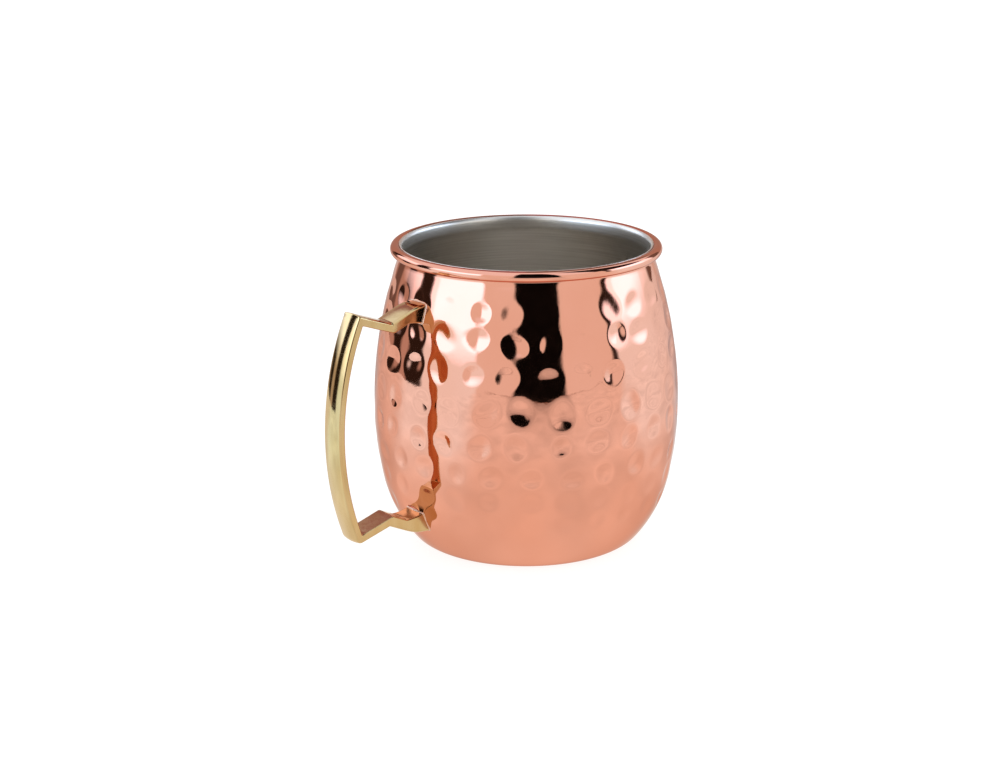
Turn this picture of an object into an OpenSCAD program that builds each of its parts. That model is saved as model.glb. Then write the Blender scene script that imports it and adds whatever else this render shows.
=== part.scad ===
// Barrel-shaped drinking mug: a copper cup with a steel cup nested inside it,
// and a one-piece brass handle brazed to the wall at both of its feet.
// Origin: centre of the standing ring, on the table. +Z up. The handle points along -X.

/* [Mug] */
// Overall height, table to the top of the rim
mug_h = 94; // [88:1:100]
// Outside diameter at the belly
belly_d = 95; // [90:1:100]
// Height of the belly above the table
belly_z = 42.5; // [40.5:0.5:44.5]
// Height of the nearly straight band round the belly
belly_band = 1; // [0.5:0.5:3]

/* [Wall outline] */
// Radius of the long arc from the belly up to the neck
upper_r = 136; // [130:1:145]
// Radius of the arc just under the belly
lower_r = 100; // [90:1:110]
// Angle that the arc under the belly turns through, in degrees
lower_turn = 12.7; // [11:0.1:14]
// Radius of the hip, where the wall turns in
hip_r = 42; // [40:1:44]
// Radius of the bottom corner
corner_r = 7; // [6:0.5:8]

/* [Sheet metal] */
// Thickness of the copper sheet
copper_t = 0.7; // [0.5:0.1:0.8]
// Thickness of the steel liner
liner_t = 0.4; // [0.3:0.1:0.5]

/* [Rim] */
// Outside diameter of the copper over its rolled bead
rim_d = 83.5; // [80:0.5:86]
// Diameter of the rolled bead itself
bead_d = 3.3; // [2.8:0.1:3.6]
// Radius of the hollow curve that leads from the wall into the bead
neck_r = 2; // [1:0.5:6]
// Degrees round the bead at which the steel stops short of the crest
lip_stop = 45; // [40:1:60]

/* [Base] */
// Diameter of the raised panel, where it leaves the standing ring
panel_d = 56; // [50:1:58]
// Height of the panel above the table
panel_rise = 1.2; // [0.8:0.1:1.6]
// Slope of the step round the panel, in degrees
panel_slope = 40; // [30:1:60]

/* [Handle] */
// Distance from the mug's axis to the outside of the grip
reach = 74.4; // [70:0.1:78]
// Height of the middle of the handle above the table
handle_z = 46.4; // [45:0.1:48]
// Width of the strap
strap_w = 7.8; // [7:0.1:9]
// Thickness of the grip in its middle
grip_t = 2.6; // [2.2:0.1:3.2]
// How far the crown of the grip stands above its edges
crown = 0.6; // [0.4:0.1:0.8]
// Overall height of the grip
grip_h = 70.5; // [64:0.1:74]
// How far the grip bows out between its ends
grip_bow = 7.5; // [6:0.1:9]
// Thickness of the outer length of each arm
arm_t = 2.8; // [2.4:0.1:3.4]
// Slope of the outer length of each arm, in degrees
arm_slope = 18.1; // [14:0.1:24]
// Distance from the mug's axis to the kink in each arm
kink_x = 55.3; // [53:0.1:57]
// How much nearer to the mug the kink is on the arm's inner edge
kink_shift = 1.2; // [0:0.1:2]
// Slope of the inner length of each arm, in degrees
leg_slope = 23.5; // [20:0.5:30]
// Distance from the mug's axis at which each foot starts to spread
foot_x = 49; // [47:0.5:50]
// Width of each foot where it meets the wall
foot_w = 8.4; // [8:0.1:12]
// Height of each foot where it meets the wall
foot_h = 6.8; // [5:0.1:8]
// Height of the foot's level top over the point where the leg's slope would end
foot_rise = 1.5; // [0.5:0.1:3]
// Lean of the whole handle, its lower end outwards, in degrees
lean = 1.8; // [0:0.1:2.5]

/* [Brazing] */
// Thickness of the filler metal between foot and wall
braze_gap = 0.15; // [0.1:0.05:0.3]
// How far the filler metal stands off the wall round each foot
braze_t = 0.4; // [0.3:0.1:0.8]
// How far the filler metal shows round each foot
braze_w = 0.5; // [0.4:0.1:1]

/* [Hidden] */
$fn = 180;

belly_r = belly_d / 2;
bead_r = bead_d / 2;
bead_x = rim_d / 2 - bead_r;
bead_z = mug_h - bead_r;

// How far each arc stands proud of the next one at their joint, so that they cross cleanly
lap = 0.01;
// Room for cutting shapes, larger than the mug
far = 120;

// Centres of the outline's arcs. Each arc runs on smoothly from the one before it.
upper_c = [belly_r - upper_r, belly_z + belly_band / 2];
lower_c = [belly_r - lower_r, belly_z - belly_band / 2];
hip_c = lower_c + (lower_r - hip_r) * [cos(lower_turn), -sin(lower_turn)];
hip_turn = asin((hip_c[1] - corner_r) / (hip_r - corner_r));
corner_c = [hip_c[0] + (hip_r - corner_r) * cos(hip_turn), corner_r];
wall_x = bead_x - bead_r + copper_t;
neck_x = wall_x + neck_r;
neck_turn = acos((neck_x - upper_c[0]) / (upper_r + neck_r));
neck_z = upper_c[1] + (upper_r + neck_r) * sin(neck_turn);

// The grip's arc, taken along the outside of its crown
grip_r = (grip_h * grip_h / 4 + grip_bow * grip_bow) / (2 * grip_bow);
grip_c = reach - grip_r;
grip_turn = asin(grip_h / 2 / grip_r);
crown_r = (strap_w * strap_w / 4 + crown * crown) / (2 * crown);

// Side view of the upper arm, measured from the handle's middle. Its outer edge runs from the
// tip of the grip down to the kink, then up to the level top of the foot.
tip = [reach - grip_bow, grip_h / 2];
kink = [kink_x, tip[1] - (tip[0] - kink_x) * tan(arm_slope)];
kink_in = kink - [kink_shift, arm_t / cos(arm_slope) + kink_shift * tan(arm_slope)];
foot_top = kink[1] + (kink_x - foot_x) * tan(leg_slope) + foot_rise;
foot_low = foot_top - foot_h;
leg_top = [kink_x - (foot_top - kink[1]) / tan(leg_slope), foot_top];
foot_in = 39;
// How far inside the grip each arm ends, short of the tip
arm_inset = 1;
leg_low = kink_in + (kink_in[0] - foot_x) * [-1, tan(leg_slope)];

// One arc of the outline with the space between it and the axis, from height z0 to height z1.
module band(c, r, z0, z1) {
    intersection() {
        union() {
            translate(c) circle(r);
            if (c[0] > 0) translate([0, c[1] - r]) square([c[0], 2 * r]);
        }
        translate([0, z0]) square([far, z1 - z0]);
    }
}

// Half of the mug's section up to height top, moved inwards by depth from the outside of the copper.
module outline(depth, top = bead_z) {
    upper = upper_r - depth;
    lower = lower_r - depth;
    hip = hip_r + lap - depth;
    corner = corner_r + 2 * lap - depth;
    hip_top = lower_c[1] - lower * sin(lower_turn);
    corner_top = hip_c[1] - hip * sin(hip_turn);
    difference() {
        union() {
            band(upper_c, upper, lower_c[1], upper_c[1] + upper * sin(neck_turn) + 1);
            band(lower_c, lower, hip_top, upper_c[1]);
            band(hip_c, hip, corner_top, hip_top + 2);
            band(corner_c, corner, depth, corner_top + 1);
            neck(depth, top);
        }
        panel(depth);
    }
}

// The neck: a hollow arc that leads from the wall up into the straight start of the bead.
module neck(depth, top) {
    r = neck_r + depth + lap;
    z0 = neck_z - r * sin(neck_turn);
    difference() {
        union() {
            translate([0, z0]) square([neck_x, neck_z - z0]);
            translate([0, neck_z - 1]) square([wall_x - depth, far]);
        }
        translate([neck_x, neck_z]) circle(r);
        translate([0, top]) square(2 * far);
    }
}

// The raised panel in the base, which leaves the standing ring round it.
module panel(depth) {
    edge = panel_d / 2 + depth * tan(panel_slope / 2);
    polygon([
        [0, depth - 1],
        [edge, depth - 1],
        [edge, depth],
        [edge - panel_rise / tan(panel_slope), depth + panel_rise],
        [0, depth + panel_rise]
    ]);
}

// A ring of sheet rolled round the bead's centre, from angle a0 to angle a1.
module curl(inner_r, outer_r, a0, a1) {
    steps = 6;
    fan = [for (i = [0:steps]) let (a = a0 + (a1 - a0) * i / steps) 2 * outer_r * [cos(a), sin(a)]];
    translate([bead_x, bead_z]) intersection() {
        difference() {
            circle(outer_r);
            circle(inner_r);
        }
        polygon(concat([[0, 0]], fan));
    }
}

module copper_shell() {
    color("#d98e6b") rotate_extrude() {
        difference() {
            outline(0);
            outline(copper_t, far);
        }
        curl(bead_r - copper_t, bead_r, -75, 180);
    }
}

module steel_liner() {
    color("#8f8b84") rotate_extrude() {
        difference() {
            outline(copper_t);
            outline(copper_t + liner_t, far);
        }
        curl(bead_r, bead_r + liner_t, 90 + lip_stop, 180);
    }
}

// Side view of the upper arm with its foot, pointing along +X from the mug's axis. Its outer side
// is drawn higher than it ends up.
module arm() {
    end = tip - arm_inset * [1, tan(arm_slope)];
    polygon([
        end + [0, 1],
        kink + [0, 1],
        leg_top + [0, 1],
        [foot_in, foot_top + 1],
        [foot_in, leg_low[1]],
        leg_low,
        kink_in,
        end - [0, arm_t / cos(arm_slope)]
    ]);
    spread = leg_low[1] - foot_low;
    run = foot_x - (upper_c[0] + upper_r * cos(asin((handle_z + foot_top - upper_c[1]) / upper_r)));
    r = (run * run + spread * spread) / (2 * spread);
    difference() {
        translate([foot_in, foot_low]) square([foot_x - foot_in, spread + 0.5]);
        translate([foot_x, leg_low[1] - r]) circle(r);
    }
}

// Side view of everything between the outer edges of the two arms.
module outer_edges() {
    edge = tip + 20 * [1, tan(arm_slope)];
    upper = [[foot_in, foot_top], leg_top, kink, edge];
    lower = [for (i = [3:-1:0]) [upper[i][0], -upper[i][1]]];
    polygon(concat(upper, lower));
}

// Plan view of the arms: a strap a hair narrower than the grip, and the foot that spreads to meet
// the wall.
module plan() {
    half = (strap_w - lap) / 2;
    spread = foot_w / 2 - half;
    run = foot_x - foot_in;
    r = (run * run + spread * spread) / (2 * spread);
    translate([foot_in, -half]) square([far, 2 * half]);
    difference() {
        translate([foot_in, -foot_w / 2]) square([foot_x - foot_in, foot_w]);
        translate([foot_x, half + r]) circle(r);
        translate([foot_x, -half - r]) circle(r);
    }
}

// The grip: a crowned strap bent to an arc.
module grip() {
    turn = grip_turn + 5;
    translate([grip_c, 0]) rotate([90, 0, 0]) rotate([0, 0, -turn])
        rotate_extrude(angle = 2 * turn) intersection() {
            translate([grip_r - grip_t, -strap_w / 2]) square([grip_t, strap_w]);
            translate([grip_r - crown_r, 0]) circle(crown_r);
        }
}

// The whole handle before its feet are shaped to the wall, pointing along +X.
module handle_blank() {
    intersection() {
        union() {
            grip();
            intersection() {
                rotate([90, 0, 0]) linear_extrude(foot_w, center = true) {
                    arm();
                    mirror([0, 1]) arm();
                }
                translate([0, 0, -far / 2]) linear_extrude(far) plan();
            }
        }
        rotate([90, 0, 0]) linear_extrude(2 * strap_w, center = true) outer_edges();
    }
}

// The mug's outer surface as a solid, grown outwards by d.
module barrel(d) {
    rotate_extrude() outline(-d);
}

module handle() {
    color("#cfae6b") difference() {
        translate([-foot_x, 0, handle_z])
            rotate([0, -lean, 180]) translate([-foot_x, 0, 0]) handle_blank();
        barrel(braze_gap);
    }
}

// Filler metal under one foot and round it. side is 1 for the upper foot, -1 for the lower.
module braze(side) {
    w = foot_w + 2 * braze_w;
    h = foot_h + 2 * braze_w;
    middle = handle_z + side * (foot_top - foot_h / 2);
    difference() {
        intersection() {
            barrel(braze_t);
            translate([-foot_x, -w / 2, middle - h / 2]) cube([foot_x, w, h]);
        }
        barrel(0);
        handle();
    }
}

module upper_braze() {
    color("#e6d3a3") braze(1);
}

module lower_braze() {
    color("#e6d3a3") braze(-1);
}

copper_shell();
steel_liner();
handle();
upper_braze();
lower_braze();
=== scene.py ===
import math
import random

import bpy
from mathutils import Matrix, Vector, noise


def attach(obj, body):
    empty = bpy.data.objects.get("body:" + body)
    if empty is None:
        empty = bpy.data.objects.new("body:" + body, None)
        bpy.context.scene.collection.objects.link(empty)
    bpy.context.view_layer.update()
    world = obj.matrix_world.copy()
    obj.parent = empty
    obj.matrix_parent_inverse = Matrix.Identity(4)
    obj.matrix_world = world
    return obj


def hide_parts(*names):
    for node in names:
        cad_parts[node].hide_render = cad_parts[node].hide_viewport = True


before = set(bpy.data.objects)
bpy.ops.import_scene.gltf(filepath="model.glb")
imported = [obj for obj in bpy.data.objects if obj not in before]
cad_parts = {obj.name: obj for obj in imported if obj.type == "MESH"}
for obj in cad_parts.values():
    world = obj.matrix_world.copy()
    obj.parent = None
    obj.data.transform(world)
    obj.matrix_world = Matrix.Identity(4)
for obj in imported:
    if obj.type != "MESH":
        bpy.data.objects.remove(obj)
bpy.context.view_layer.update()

MM = 0.001

# ---------------------------------------------------------------- sizes of the part, mm
MUG_H = 94.0
BELLY_R = 47.5
UPPER_Z, LOWER_Z = 43.0, 42.0
UPPER_R, LOWER_R, HIP_R, CORNER_R = 136.0, 100.0, 42.0, 7.0
LOWER_TURN = math.radians(12.7)
COPPER_T, LINER_T = 0.7, 0.4
BEAD_R = 1.65
BEAD_X = 83.5 / 2 - BEAD_R
BEAD_Z = MUG_H - BEAD_R
LIP_STOP = math.radians(45)
NECK_R = 2.0
PANEL_R, PANEL_RISE, PANEL_SLOPE = 28.0, 1.2, math.radians(40)

UPPER_C = (BELLY_R - UPPER_R, UPPER_Z)
LOWER_C = (BELLY_R - LOWER_R, LOWER_Z)
HIP_C = (LOWER_C[0] + (LOWER_R - HIP_R) * math.cos(LOWER_TURN),
         LOWER_C[1] - (LOWER_R - HIP_R) * math.sin(LOWER_TURN))
HIP_TURN = math.asin((HIP_C[1] - CORNER_R) / (HIP_R - CORNER_R))
CORNER_C = (HIP_C[0] + (HIP_R - CORNER_R) * math.cos(HIP_TURN), CORNER_R)
WALL_X = BEAD_X - BEAD_R + COPPER_T
NECK_X = WALL_X + NECK_R
NECK_TURN = math.acos((NECK_X - UPPER_C[0]) / (UPPER_R + NECK_R))
NECK_Z = UPPER_Z + (UPPER_R + NECK_R) * math.sin(NECK_TURN)

HANDLE_Z, LEAN = 46.4, math.radians(1.8)
STRAP_W, CROWN = 7.8, 0.6
REACH, GRIP_H, GRIP_BOW, GRIP_T = 74.4, 70.5, 7.5, 2.6
ARM_T, ARM_SLOPE, LEG_SLOPE = 2.8, math.radians(18.1), math.radians(23.5)
KINK_X, KINK_SHIFT = 55.3, 1.2
FOOT_X, FOOT_W, FOOT_H, FOOT_RISE = 49.0, 8.4, 6.8, 1.5

# ---------------------------------------------------------------- camera
CAM_AZ, CAM_EL, CAM_DIST = math.radians(-40), math.radians(16.7), 650.0
CAM_AIM = Vector((0, 0, 45.43))
CAM_BACK = math.atan2(-math.cos(CAM_AZ), math.sin(CAM_AZ))  # the camera's direction seen from the axis


# ---------------------------------------------------------------- shared helpers
def arc(centre, radius, a0, a1, step):
    """Points on an arc from angle a0 to a1, about step mm apart, without the last one."""
    n = max(2, round(abs(a1 - a0) * radius / step))
    return [(centre[0] + radius * math.cos(a0 + (a1 - a0) * i / n),
             centre[1] + radius * math.sin(a0 + (a1 - a0) * i / n)) for i in range(n)]


def line(p, q, step):
    """Points on a straight line from p to q, about step mm apart, without the last one."""
    n = max(1, round(math.dist(p, q) / step))
    return [(p[0] + (q[0] - p[0]) * i / n, p[1] + (q[1] - p[1]) * i / n) for i in range(n)]


def wall_section(depth, step):
    """The wall's section from the standing ring up to the bead, depth mm inside the copper's outside."""
    return (arc(CORNER_C, CORNER_R - depth, -math.pi / 2, -HIP_TURN, step)
            + arc(HIP_C, HIP_R - depth, -HIP_TURN, -LOWER_TURN, step)
            + arc(LOWER_C, LOWER_R - depth, -LOWER_TURN, 0, step)
            + arc(UPPER_C, UPPER_R - depth, 0, NECK_TURN, step)
            + arc((NECK_X, NECK_Z), NECK_R + depth, math.pi + NECK_TURN, math.pi, step)
            + line((WALL_X - depth, NECK_Z), (WALL_X - depth, BEAD_Z), step))


def base_section(depth, step):
    """The base's section from the axis out to the foot of the corner."""
    edge = PANEL_R + depth * math.tan(PANEL_SLOPE / 2)
    inner = edge - PANEL_RISE / math.tan(PANEL_SLOPE)
    top = depth + PANEL_RISE
    return ([(0.0, top)] + line((2.0, top), (inner - 0.4, top), step)
            + arc((inner - 0.4, top - 1.1), 1.1, math.pi / 2, math.pi / 2 - PANEL_SLOPE, 0.3)
            + line((inner + 0.3, top - 0.25), (edge, depth), 0.6)
            + line((edge, depth), (CORNER_C[0], depth), step))


def wall_radius(z):
    """Outside radius of the wall at height z, without dents."""
    if z >= NECK_Z:
        return WALL_X
    for (cx, cz), r, top in ((CORNER_C, CORNER_R, CORNER_R * (1 - math.sin(HIP_TURN))),
                             (HIP_C, HIP_R, HIP_C[1] - HIP_R * math.sin(LOWER_TURN)),
                             (LOWER_C, LOWER_R, LOWER_Z),
                             (UPPER_C, UPPER_R, UPPER_Z + UPPER_R * math.sin(NECK_TURN))):
        if z <= top:
            dz = max(-r, min(r, z - cz))
            return BELLY_R if cz > z > LOWER_Z else cx + math.sqrt(r * r - dz * dz)
    return NECK_X - math.sqrt(NECK_R ** 2 - (z - NECK_Z) ** 2)


def make_object(name, verts, faces, material):
    """A smooth-shaded mesh object from points in mm."""
    mesh = bpy.data.meshes.new(name)
    mesh.from_pydata([Vector(v) * MM for v in verts], [], faces)
    mesh.materials.append(material)
    mesh.polygons.foreach_set("use_smooth", [True] * len(mesh.polygons))
    mesh.update()
    obj = bpy.data.objects.new(name, mesh)
    bpy.context.scene.collection.objects.link(obj)
    return obj


def revolve(name, section, around, material, dent=None):
    """Turns a section that starts and ends on the axis round it. dent(x, y, z, r) gives a new radius."""
    verts, faces = [(0, 0, section[0][1])], []
    rings = section[1:-1]
    n = len(rings)
    for k in range(around):
        a = 2 * math.pi * k / around
        for i, (r, z) in enumerate(rings):
            if dent:
                r, z = dent(a, i, r, z)
            verts.append((r * math.cos(a), r * math.sin(a), z))
    verts.append((0, 0, section[-1][1]))
    last = len(verts) - 1
    for k in range(around):
        b, c = 1 + k * n, 1 + (k + 1) % around * n
        faces.append((0, c, b))
        for i in range(n - 1):
            faces.append((b + i, c + i, c + i + 1, b + i + 1))
        faces.append((b + n - 1, c + n - 1, last))
    return make_object(name, verts, faces, material)


# ---------------------------------------------------------------- materials
class Nodes:
    """A short way to build a tree of shader nodes."""

    def __init__(self, tree):
        self.tree = tree
        tree.nodes.clear()

    def add(self, kind, *values, **settings):
        """A node with values or links for its first inputs. Settings name inputs or properties."""
        node = self.tree.nodes.new(kind)
        for key, value in settings.items():
            if key in node.inputs:
                node.inputs[key].default_value = value
            else:
                setattr(node, key, value)
        for socket, value in zip(node.inputs, values):
            if isinstance(value, bpy.types.NodeSocket):
                self.link(value, socket)
            elif value is not None:
                socket.default_value = value
        return node

    def link(self, a, b):
        self.tree.links.new(a, b)

    def place(self, scale=(1, 1, 1)):
        """Object coordinates in mm times scale."""
        coord = self.add("ShaderNodeTexCoord")
        mapping = self.add("ShaderNodeMapping")
        mapping.inputs["Scale"].default_value = [1000 * s for s in scale]
        self.link(coord.outputs["Object"], mapping.inputs["Vector"])
        return mapping.outputs["Vector"]

    def noise(self, scale, detail=3, roughness=0.5, stretch=(1, 1, 1)):
        node = self.add("ShaderNodeTexNoise", Scale=scale, Detail=detail, Roughness=roughness)
        self.link(self.place(stretch), node.inputs["Vector"])
        return node.outputs["Fac"]

    def spread(self, value, low, high, from_low=0.3, from_high=0.7):
        """Maps a value to the range low to high."""
        return self.add("ShaderNodeMapRange", value, from_low, from_high, low, high).outputs["Result"]

    def blend(self, value, a, b):
        """Mixes colour a to colour b by value. Each is a colour or another node's output."""
        node = self.add("ShaderNodeMix", value, data_type="RGBA")
        for socket, colour in ((node.inputs[6], a), (node.inputs[7], b)):
            if isinstance(colour, bpy.types.NodeSocket):
                self.link(colour, socket)
            else:
                socket.default_value = (*colour, 1)
        return node.outputs[2]

    def bump(self, height, distance_mm, normal=None):
        node = self.add("ShaderNodeBump", Distance=distance_mm * MM)
        self.link(height, node.inputs["Height"])
        if normal:
            self.link(normal, node.inputs["Normal"])
        return node.outputs["Normal"]

    def round_bands(self, x, y, bands, soft):
        """A colour by direction round the mug. bands holds the degrees from the camera's side at which
        each colour starts, and soft is how many degrees one takes to turn into the next."""
        angle = self.add("ShaderNodeMath", y, x, operation="ARCTAN2").outputs[0]
        turned = self.add("ShaderNodeMath", angle, CAM_BACK, operation="SUBTRACT").outputs[0]
        wrapped = self.add("ShaderNodeMath", turned, math.pi, -math.pi, operation="WRAP").outputs[0]
        ramp = self.add("ShaderNodeValToRGB", self.spread(wrapped, 0.0, 1.0, -math.pi, math.pi))
        points = [(0.0, bands[0][1])]
        for (_, was), (degrees, now) in zip(bands, bands[1:]):
            points += [((degrees + 180 - soft / 2) / 360, was), ((degrees + 180 + soft / 2) / 360, now)]
        points.append((1.0, bands[-1][1]))
        stops = ramp.color_ramp.elements
        for position, _ in points[1:-1]:
            stops.new(position)
        for stop, (_, colour) in zip(stops, points):
            stop.color = (*colour, 1)
        return ramp.outputs["Color"]


class Metal(Nodes):
    """A metal's material. The caller wires its colour, roughness and normal."""

    def __init__(self, name):
        self.material = bpy.data.materials.new(name)
        self.material.use_nodes = True
        super().__init__(self.material.node_tree)
        self.shader = self.add("ShaderNodeBsdfPrincipled", Metallic=1.0)
        out = self.add("ShaderNodeOutputMaterial")
        self.link(self.shader.outputs[0], out.inputs["Surface"])

    def finish(self, colour, roughness, normal):
        for value, socket in ((colour, "Base Color"), (roughness, "Roughness"), (normal, "Normal")):
            self.link(value, self.shader.inputs[socket])
        return self.material


def copper_material():
    m = Metal("copper")
    m.shader.inputs["Specular Tint"].default_value = (0.72, 0.60, 0.56, 1)
    tone = m.spread(m.noise(0.05, 4), 0, 1)
    colour = m.blend(tone, (0.80, 0.37, 0.262), (0.78, 0.345, 0.236))
    return m.finish(colour, m.spread(m.noise(0.35, 5), 0.03, 0.07), m.bump(m.noise(0.9, 2), 0.004))


def steel_material():
    m = Metal("steel")
    rings = m.noise(1.0, 2, 0.6, stretch=(0.03, 0.03, 1.8))
    colour = m.blend(m.spread(rings, 0, 1, 0.2, 0.8), (0.64, 0.60, 0.54), (0.86, 0.81, 0.74))
    return m.finish(colour, m.spread(m.noise(0.05, 2), 0.30, 0.40, 0.1, 0.9), m.bump(rings, 0.003))


def brass_material():
    m = Metal("brass")
    tone = m.spread(m.noise(0.25, 4, stretch=(1, 1, 0.25)), 0, 1, 0.25, 0.75)
    colour = m.blend(tone, (0.66, 0.48, 0.25), (0.58, 0.38, 0.16))
    return m.finish(colour, m.spread(m.noise(0.5, 4), 0.05, 0.12), m.bump(m.noise(0.45, 3), 0.012))


def braze_material():
    m = Metal("braze")
    tone = m.spread(m.noise(0.9, 4), 0, 1)
    colour = m.blend(tone, (0.84, 0.55, 0.42), (0.62, 0.33, 0.21))
    return m.finish(colour, m.spread(m.noise(1.5, 3), 0.12, 0.3), m.bump(m.noise(1.2, 3), 0.05))


# ---------------------------------------------------------------- the copper cup
# Rows of hammer dents: the row's height and the place of one of its dents, in degrees round from
# the side that faces the camera.
ROWS = ((82.0, -5.5), (73.3, -4.5), (63.4, -6.3), (52.8, -0.8),
        (42.8, -2.3), (33.0, 2.2), (24.4, 0.6), (16.6, 1.5))
ROW_DEPTHS = (0.75, 1, 1, 1, 1.2, 1, 0.9, 0.75)
ROW_SIZES = (1, 1, 1, 1, 0.83, 0.86, 0.86, 0.86)
DENTS_ROUND = 26
DENT_R, DENT_DEPTH = 4.5, 0.42
STRAY_APART = Vector((31.7, 0, 0))  # keeps the two directions a dent strays in unlike each other
WAVE_DEPTH, WAVE_LENGTH = 0.07, 9  # the wall's slight waviness between the dents
STRAY, STRAY_LENGTH = 0.7, 6  # how far a dent's edge strays from an ellipse
COPPER_AROUND, LINER_AROUND = 456, 288  # mesh points round the two cups


def dents():
    """Each hammer dent's angle, height, radius, depth, slant and how much longer than wide it is."""
    rng = random.Random(7)
    found = []
    for (z, phase), soft, size in zip(ROWS, ROW_DEPTHS, ROW_SIZES):
        for k in range(DENTS_ROUND):
            a = CAM_BACK + math.radians(phase + 360 * k / DENTS_ROUND + rng.uniform(-1.3, 1.3))
            found.append((a % (2 * math.pi), z + rng.uniform(-0.8, 0.8),
                          DENT_R * size * rng.uniform(0.82, 1.1), DENT_DEPTH * soft * rng.uniform(0.7, 1.2),
                          rng.uniform(0, math.pi), rng.uniform(1, 1.3)))
    return found


def hammered(section, first, last):
    """A function that pushes the points first to last of a section inwards where the wall is dented."""
    cells = 72
    near = [[] for _ in range(cells)]
    for dent in dents():
        for k in range(-2, 3):
            near[(int(dent[0] / (2 * math.pi) * cells) + k) % cells].append(dent)
    normals = {}
    for i in range(first, last):
        (r0, z0), (r1, z1) = section[i - 1], section[i + 1]
        size = math.hypot(r1 - r0, z1 - z0)
        normals[i] = ((z1 - z0) / size, (r0 - r1) / size)

    def move(a, i, r, z):
        if i not in normals or z > 89:
            return r, z
        nr, nz = normals[i]
        where = Vector((r * math.cos(a), r * math.sin(a), z))
        depth = 0.0
        if nr > 0.3:
            stray_u = noise.noise(where / STRAY_LENGTH) * STRAY
            stray_v = noise.noise(where / STRAY_LENGTH + STRAY_APART) * STRAY
            for da, dz, dr, dd, slant, long in near[int(a / (2 * math.pi) * cells) % cells]:
                u = ((a - da + math.pi) % (2 * math.pi) - math.pi) * r + stray_u
                v = (z - dz) / nr + stray_v
                along = u * math.cos(slant) + v * math.sin(slant)
                across = v * math.cos(slant) - u * math.sin(slant)
                x = (along * along / long + across * across * long) / dr ** 2
                if x < 1:
                    depth += dd * (1 - x) ** 1.6
        fade = max(0, min(1, (z - 4) / 12, (89 - z) / 8))
        depth += WAVE_DEPTH * fade * (noise.noise(where / WAVE_LENGTH) + 0.6)
        return r - depth * nr, z - depth * nz
    return move


def make_copper_body(material):
    base, wall = base_section(0, 3.0), wall_section(0, 0.78)
    end = math.radians(-75)
    curl = (arc((BEAD_X, BEAD_Z), BEAD_R - COPPER_T, math.pi, end, 0.35)
            + arc((BEAD_X, BEAD_Z), BEAD_R, end, math.pi, 0.28))
    inside = (base_section(COPPER_T, 4.0) + wall_section(COPPER_T, 6.0))[::-1]
    section = base + wall + curl + inside
    dent = hammered(section, len(base), len(base) + len(wall))
    return revolve("copper_body", section, COPPER_AROUND, material, dent)


def make_steel_liner(material):
    edge = math.pi / 2 + LIP_STOP
    middle = BEAD_R + LINER_T / 2
    rounding = []
    for t in (0.75, 0.5, 0.25):
        r = middle + LINER_T / 2 * math.cos(t * math.pi)
        a = edge - 0.13 * math.sin(t * math.pi)
        rounding.append((BEAD_X + r * math.cos(a), BEAD_Z + r * math.sin(a)))
    section = (base_section(COPPER_T, 4.0) + wall_section(COPPER_T, 3.0)
               + arc((BEAD_X, BEAD_Z), BEAD_R, math.pi, edge, 0.35) + rounding
               + arc((BEAD_X, BEAD_Z), BEAD_R + LINER_T, edge, math.pi, 0.28)
               + (base_section(COPPER_T + LINER_T, 3.0) + wall_section(COPPER_T + LINER_T, 1.2))[::-1])
    return revolve("liner", section, LINER_AROUND, material)


# ---------------------------------------------------------------- the handle
# Its side view is measured from the mug's axis and from the handle's middle.
GRIP_R = (GRIP_H ** 2 / 4 + GRIP_BOW ** 2) / (2 * GRIP_BOW)
GRIP_C = REACH - GRIP_R
TIP = Vector((REACH - GRIP_BOW, GRIP_H / 2))
KINK = Vector((KINK_X, TIP.y - (TIP.x - KINK_X) * math.tan(ARM_SLOPE)))
KINK_IN = KINK - Vector((KINK_SHIFT, ARM_T / math.cos(ARM_SLOPE) + KINK_SHIFT * math.tan(ARM_SLOPE)))
FOOT_TOP = KINK.y + (KINK_X - FOOT_X) * math.tan(LEG_SLOPE) + FOOT_RISE
LEG_LOW = KINK_IN.y + (KINK_IN.x - FOOT_X) * math.tan(LEG_SLOPE)
FOOT_SPREAD = LEG_LOW - (FOOT_TOP - FOOT_H)
FOOT_RUN = FOOT_X - 41.6


def tip_inside():
    """Where the inner edges of arm and grip meet."""
    y = TIP.y - ARM_T
    for _ in range(20):
        x = GRIP_C + math.sqrt((GRIP_R - GRIP_T) ** 2 - y * y)
        y = TIP.y - ARM_T / math.cos(ARM_SLOPE) + (x - TIP.x) * math.tan(ARM_SLOPE)
    return Vector((x, y))


def flare(x, spread, run):
    """How far a foot has spread at distance x from the axis."""
    r = (run * run + spread * spread) / (2 * spread)
    d = min(max(FOOT_X - x, 0), r)
    return min(r - math.sqrt(r * r - d * d), spread * 1.15)


def foot_stations():
    """Slices of the foot and the leg, from inside the wall to just before the kink."""
    slices = []
    for k in range(41):
        x = 39.0 + (KINK_X - 0.7 - 39.0) * k / 40
        x_low = x - KINK_SHIFT * max(0, x - FOOT_X) / (KINK_X - FOOT_X)
        slope = KINK.y + (KINK_X - x) * math.tan(LEG_SLOPE)
        soft = 0.5
        top = -soft * math.log(math.exp(-slope / soft) + math.exp(-FOOT_TOP / soft))
        low = LEG_LOW - max(0, x_low - FOOT_X) * math.tan(LEG_SLOPE) - flare(x, FOOT_SPREAD, FOOT_RUN)
        width = STRAP_W / 2 + flare(x, (FOOT_W - STRAP_W) / 2, FOOT_X - 41)
        slices.append((Vector((x, top)), Vector((x_low, low)), width, 0.3))
    return slices


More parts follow.
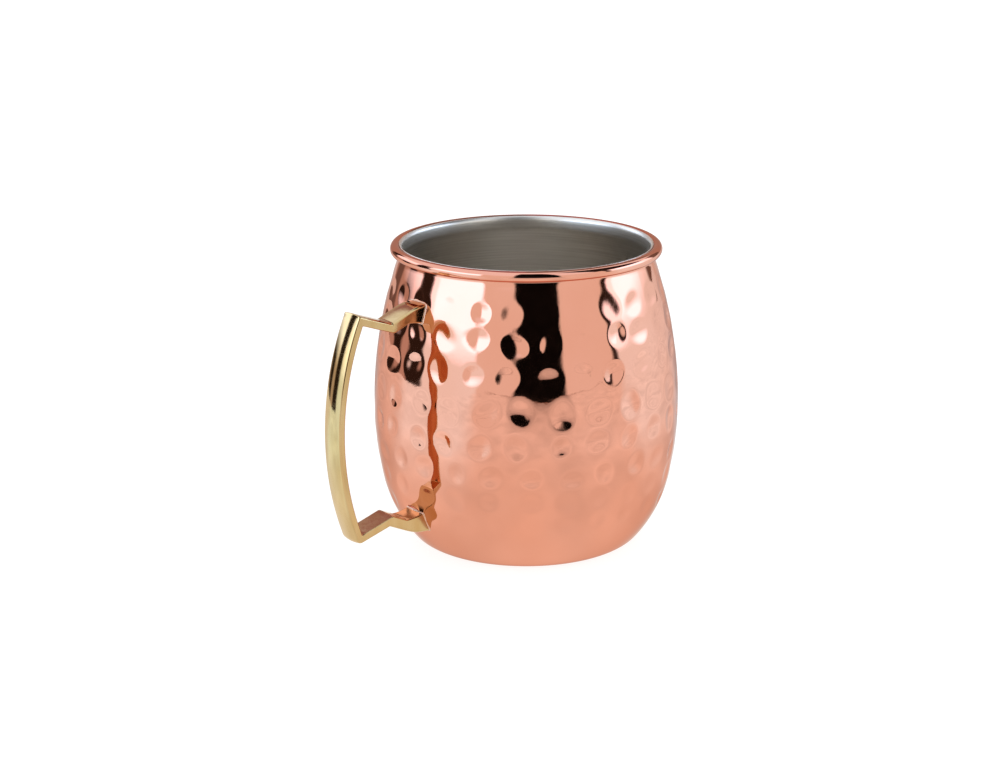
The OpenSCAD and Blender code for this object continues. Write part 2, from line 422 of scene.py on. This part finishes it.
def bend(outer, inner, before, after, size, inner_size, crown, steps=8):
    """Slices round a mitred bend, softened over size mm outside and inner_size mm inside."""
    slices = []
    for k in range(steps + 1):
        t = k / steps
        slide = before * (1 - t) ** 2 + after * t ** 2
        slices.append((outer + slide * size, inner + slide * inner_size, STRAP_W / 2, crown))
    return slices


def between(a, b, count):
    """Slices between two slices, without those two."""
    return [tuple(p + (q - p) * k / (count + 1) for p, q in zip(a, b)) for k in range(1, count + 1)]


def half_handle(tip_size):
    """Slices from inside the wall, over the kink, round the tip and up to the grip's middle."""
    leg = Vector((-math.cos(LEG_SLOPE), math.sin(LEG_SLOPE)))
    arm = Vector((math.cos(ARM_SLOPE), math.sin(ARM_SLOPE)))
    turn = math.asin(TIP.y / GRIP_R)
    inside = tip_inside()
    turn_in = math.asin(inside.y / (GRIP_R - GRIP_T))
    slices = foot_stations() + bend(KINK, KINK_IN, leg, arm, 0.5, 0.5, 0.3)
    tip = bend(TIP, inside, -arm, Vector((math.sin(turn), -math.cos(turn))), tip_size, 0.4, 0.45)
    slices += between(slices[-1], tip[0], 8) + tip
    start = 1 - (tip_size + 0.5) / TIP.y
    for k in range(33):
        t = start * (1 - k / 32)
        slices.append((Vector((GRIP_C + GRIP_R * math.cos(turn * t), GRIP_R * math.sin(turn * t))),
                       Vector((GRIP_C + (GRIP_R - GRIP_T) * math.cos(turn_in * t),
                               (GRIP_R - GRIP_T) * math.sin(turn_in * t))), STRAP_W / 2, CROWN))
    return slices


def strap_ring(outer, inner, half, crown):
    """The rounded section of the strap in one slice, as (distance from the axis, y, height)."""
    depth = (inner - outer).length
    down = (inner - outer) / depth
    edge, back = 0.75, 0.4
    ring = []
    for k in range(13):
        u = (half - edge - 0.12) * (k / 6 - 1)
        ring.append((u, crown * (u / half) ** 2))
    low = crown * ((half - edge) / half) ** 2
    for k in range(6):
        t = math.pi / 2 * k / 5
        ring.append((half - edge + edge * math.sin(t), low + edge * (1 - math.cos(t))))
    ring.append((half, low + edge + 0.12))
    ring.append((half, depth - back - 0.12))
    for k in range(6):
        t = math.pi / 2 * k / 5
        ring.append((half - back + back * math.cos(t), depth - back + back * math.sin(t)))
    for k in range(7):
        ring.append(((half - back - 0.12) * (1 - k / 3), depth))
    left = [(-u, v) for u, v in ring[13:27]][::-1]
    ring += left
    return [(outer.x + down.x * v, u, outer.y + down.y * v) for u, v in ring]


def place(point, side):
    """Turns a side-view point into mug coordinates. side is 1 for the upper half and -1 for the lower."""
    x, z = point[0] - FOOT_X, side * point[2]
    return Vector((-FOOT_X - x * math.cos(LEAN) + z * math.sin(LEAN), point[1],
                   HANDLE_Z + x * math.sin(LEAN) + z * math.cos(LEAN)))


def off_wall(p):
    """How far a point stands off the wall."""
    return math.hypot(p.x, p.y) - wall_radius(p.z)


def meet_wall(rings, depth, rows):
    """Starts rings at depth mm under the wall's surface, with rows slices up to the end of the foot."""
    foot = 26
    lines = []
    for i in range(len(rings[0])):
        path = [ring[i] for ring in rings[:foot]]
        k = max(j for j in range(foot) if off_wall(path[j]) < -depth)
        a, b = off_wall(path[k]) + depth, off_wall(path[k + 1]) + depth
        start = path[k] + (path[k + 1] - path[k]) * (a / (a - b))
        path = [start] + path[k + 1:]
        spans = [0]
        for p, q in zip(path, path[1:]):
            spans.append(spans[-1] + (q - p).length)
        points = []
        for row in range(rows):
            want = spans[-1] * row / rows
            j = max(n for n in range(len(path) - 1) if spans[n] <= want)
            points.append(path[j] + (path[j + 1] - path[j]) * ((want - spans[j]) / (spans[j + 1] - spans[j])))
        lines.append(points)
    return [[line[row] for line in lines] for row in range(rows)] + rings[foot:]


def loft(name, rings, material):
    """A closed skin over rings of points, with a face over the first and the last."""
    n = len(rings[0])
    faces = []
    for k in range(len(rings) - 1):
        for i in range(n):
            j = (i + 1) % n
            faces.append((k * n + i, (k + 1) * n + i, (k + 1) * n + j, k * n + j))
    faces.append(tuple(range(n)))
    faces.append(tuple(range((len(rings) - 1) * n, len(rings) * n))[::-1])
    return make_object(name, [p for ring in rings for p in ring], faces, material)


def half_rings(side, tip_size):
    rings = [[place(p, side) for p in strap_ring(*s)] for s in half_handle(tip_size)]
    return meet_wall(rings, 0.5, 16)


def make_handle(material):
    upper, lower = half_rings(1, 0.25), half_rings(-1, 2.2)
    return loft("brass_handle", upper + lower[-2::-1], material)


# ---------------------------------------------------------------- the brazed seams
def make_braze(name, side, material):
    """A hollow fillet of filler metal round one foot, a little uneven."""
    rings = [[place(p, side) for p in strap_ring(*s)] for s in half_handle(0.5)[:30]]
    contact = meet_wall(rings, 0.0, 16)
    n = len(contact[0])
    middle = sum(contact[0], Vector()) / n
    verts, faces = [], []
    for i in range(n):
        foot, along = contact[0][i], (contact[2][i] - contact[0][i]).normalized()
        out = Vector((foot.x, foot.y, 0)).normalized()
        away = foot - middle
        away = (away - out * away.dot(out)).normalized()
        wob = noise.noise(Vector((foot.y * 0.7, foot.z * 0.7, side * 9.0)))
        up, wide = 0.32 + 0.2 * wob, 0.34 + 0.25 * wob
        on_foot = foot + along * up + away * 0.04
        on_wall = foot + away * wide
        on_wall += Vector((on_wall.x, on_wall.y, 0)).normalized() * (0.03 - off_wall(on_wall))
        hollow = foot + along * up * 0.25 + away * wide * 0.25
        under = on_wall - out * 0.42
        inner = foot - out * 0.42 - away * 0.5
        tuck = foot + along * up * 0.8 - away * 0.4
        for p in (on_foot, (on_foot + hollow) / 2 - away * 0.02, hollow, (hollow + on_wall) / 2 - out * 0.02,
                  on_wall, under, inner, tuck):
            verts.append(p)
    m = 8
    for i in range(n):
        j = (i + 1) % n
        for k in range(m):
            q = (k + 1) % m
            faces.append((i * m + k, j * m + k, j * m + q, i * m + q))
    return make_object(name, verts, faces, material)


# ---------------------------------------------------------------- stage, light and camera
# What polished metal sees round the mug. The camera itself sees only plain white. Each pair is the
# direction in degrees from the camera's side at which a tone starts.
BOX, SOFT, GLOW, SKY = (2.2, 2.7, 3.6), (1.8, 2.1, 2.6), (1.1, 1.35, 1.5), (1.1, 1.2, 1.35)
PALE, EDGE, TAN, GREY = (1.0, 1.0, 0.98), (0.60, 0.47, 0.42), (0.6, 0.5, 0.45), (0.45, 0.45, 0.45)
RUST, DUSK, DARK, BLACK = (0.42, 0.20, 0.23), (0.22, 0.18, 0.16), (0.03, 0.02, 0.015), (0.003, 0.003, 0.003)
HIGH_BANDS = ((-180, EDGE), (-149, DARK), (-138, SOFT), (-103, DARK), (-88, SOFT), (-82, BOX), (-38, PALE),
              (-10, BLACK), (28, PALE), (69, DARK), (74.5, SOFT), (81, BOX), (116, SOFT), (130, DUSK),
              (148, EDGE))
LOW_BANDS = ((-180, EDGE), (-150, DUSK), (-135, TAN), (-124, DARK), (-112, TAN), (-102, DARK), (-86, GLOW),
             (-38, PALE), (-10, BLACK), (28, PALE), (69, DARK), (74.5, GLOW), (131, DUSK), (146, EDGE))
UPPER_BANDS = ((-180, RUST), (-158, SKY), (-10, BLACK), (28, SKY), (62, DARK), (125, SKY), (152, DUSK))
# The table as glossy rays see it, with painted light and shade: painted pools of soft box light (GLOW),
# painted shade behind the mug (EDGE) and a painted grey shade on the far end towards the camera's side
# (GREY).
PAINTED_TABLE_LIGHT_AND_SHADE_BANDS = ((-180, EDGE), (-150, PALE), (-100, GLOW), (-38, PALE), (78, GLOW), (145, EDGE))
PAINTED_TABLE_END_LIGHT_AND_SHADE_BANDS = ((-180, PALE), (-100, GLOW), (-38, PALE), (-12, GREY), (30, PALE), (75, GLOW), (145, PALE))
# Painted shadow of the mug on the table round its base, tinted by a painted reflection of the copper.
PAINTED_MUG_SHADOW_AND_REFLECTION = (1.0, 0.93, 0.85)


def make_floor():
    """A pale table, plain for the camera. Glossy rays see it as an emission with painted light and shade on
    it. Its ends in front and to the left let the room show in the polish.
    """
    front, left, far = 720.0, 420.0, 3000.0
    towards = Vector((math.cos(CAM_BACK), math.sin(CAM_BACK), 0))
    right = Vector((-towards.y, towards.x, 0))
    material = bpy.data.materials.new("floor")
    material.use_nodes = True
    m = Nodes(material.node_tree)
    coord = m.add("ShaderNodeTexCoord").outputs["Object"]
    split = m.add("ShaderNodeSeparateXYZ", coord)
    x, y = split.outputs["X"], split.outputs["Y"]
    away = m.add("ShaderNodeVectorMath", coord, operation="LENGTH").outputs["Value"]
    # Painted shadow and copper reflection round the mug, then painted pools of soft box light and painted
    # shade round the table, seen only by glossy rays.
    table = m.blend(m.spread(away, 0, 1, 0.05, 0.18), PAINTED_MUG_SHADOW_AND_REFLECTION, m.round_bands(x, y, PAINTED_TABLE_LIGHT_AND_SHADE_BANDS, 16))
    table = m.blend(m.spread(away, 0, 1, 0.16, 0.70), table, m.round_bands(x, y, PAINTED_TABLE_END_LIGHT_AND_SHADE_BANDS, 6))
    ahead = m.add("ShaderNodeVectorMath", coord, tuple(towards), operation="DOT_PRODUCT").outputs["Value"]
    # A painted dark strip, painted shade, along the last 30 to 34 mm of the table's front end.
    table = m.blend(m.spread(ahead, 0, 1, (front - 34) * MM, (front - 30) * MM), table, (0.3, 0.2, 0.16))
    # The painted table light varies a little in strength at random.
    lit = m.add("ShaderNodeEmission", table, m.spread(m.noise(0.018, 2), 0.88, 1.12))
    shade = m.blend(m.noise(0.01, 2), (0.24, 0.24, 0.24), (0.26, 0.26, 0.26))
    plain = m.add("ShaderNodeBsdfPrincipled", shade)
    plain.inputs["Emission Color"].default_value = (1, 1, 1, 1)
    plain.inputs["Emission Strength"].default_value = 0.85
    glossy = m.add("ShaderNodeLightPath").outputs["Is Glossy Ray"]
    mixed = m.add("ShaderNodeMixShader", glossy, plain.outputs[0], lit.outputs[0])
    m.add("ShaderNodeOutputMaterial", mixed.outputs[0])
    corners = [towards * front - right * left, towards * front + right * far,
               right * far - towards * far, -towards * far - right * left]
    make_object("floor", corners, [(0, 1, 2, 3)], material)


def make_world():
    """Plain white for the camera. The polished metal sees soft boxes and the dark room between them."""
    world = bpy.data.worlds.new("studio")
    bpy.context.scene.world = world
    world.use_nodes = True
    m = Nodes(world.node_tree)
    split = m.add("ShaderNodeSeparateXYZ", m.add("ShaderNodeTexCoord").outputs["Generated"])
    x, y, z = (split.outputs[axis] for axis in "XYZ")
    room = m.blend(m.spread(z, 0, 1, 0.02, 0.17), m.round_bands(x, y, LOW_BANDS, 3),
                   m.round_bands(x, y, HIGH_BANDS, 2))
    room = m.blend(m.spread(z, 0, 1, 0.40, 0.48), room, m.round_bands(x, y, UPPER_BANDS, 2.5))
    room = m.blend(m.spread(z, 0, 1, 0.93, 0.99), room, SKY)
    seen = m.add("ShaderNodeBackground", room)
    plain = m.add("ShaderNodeBackground", (1, 1, 1, 1), 1.12)
    glossy = m.add("ShaderNodeLightPath").outputs["Is Glossy Ray"]
    mixed = m.add("ShaderNodeMixShader", glossy, plain.outputs[0], seen.outputs[0])
    m.add("ShaderNodeOutputWorld", mixed.outputs[0])


def make_camera():
    camera = bpy.data.cameras.new("camera")
    camera.sensor_width = 36.0
    camera.lens = 36.0 * 3.192 * CAM_DIST / 1000
    camera.shift_x, camera.shift_y = -0.0262, 0.009
    camera.clip_start, camera.clip_end = 0.01, 20
    obj = bpy.data.objects.new("camera", camera)
    bpy.context.scene.collection.objects.link(obj)
    level = math.cos(CAM_EL)
    back = Vector((math.cos(CAM_BACK) * level, math.sin(CAM_BACK) * level, math.sin(CAM_EL)))
    obj.location = (CAM_AIM + back * CAM_DIST) * MM
    obj.rotation_euler = back.to_track_quat("Z", "Y").to_euler()
    bpy.context.scene.camera = obj


# ---------------------------------------------------------------- build
copper, steel, brass, braze = copper_material(), steel_material(), brass_material(), braze_material()
pieces = (
    (make_copper_body(copper), "copper_shell", "copper"),
    (make_steel_liner(steel), "steel_liner", "steel"),
    (make_handle(brass), "handle", "brass"),
    (make_braze("braze_upper", 1, braze), "upper_braze", "braze"),
    (make_braze("braze_lower", -1, braze), "lower_braze", "braze"),
)
for piece, node, slot in pieces:
    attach(piece, "root")
    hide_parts(node)

make_floor()
make_world()
make_camera()
bpy.context.scene.view_settings.view_transform = "Standard"
bpy.context.scene.view_settings.look = "None"
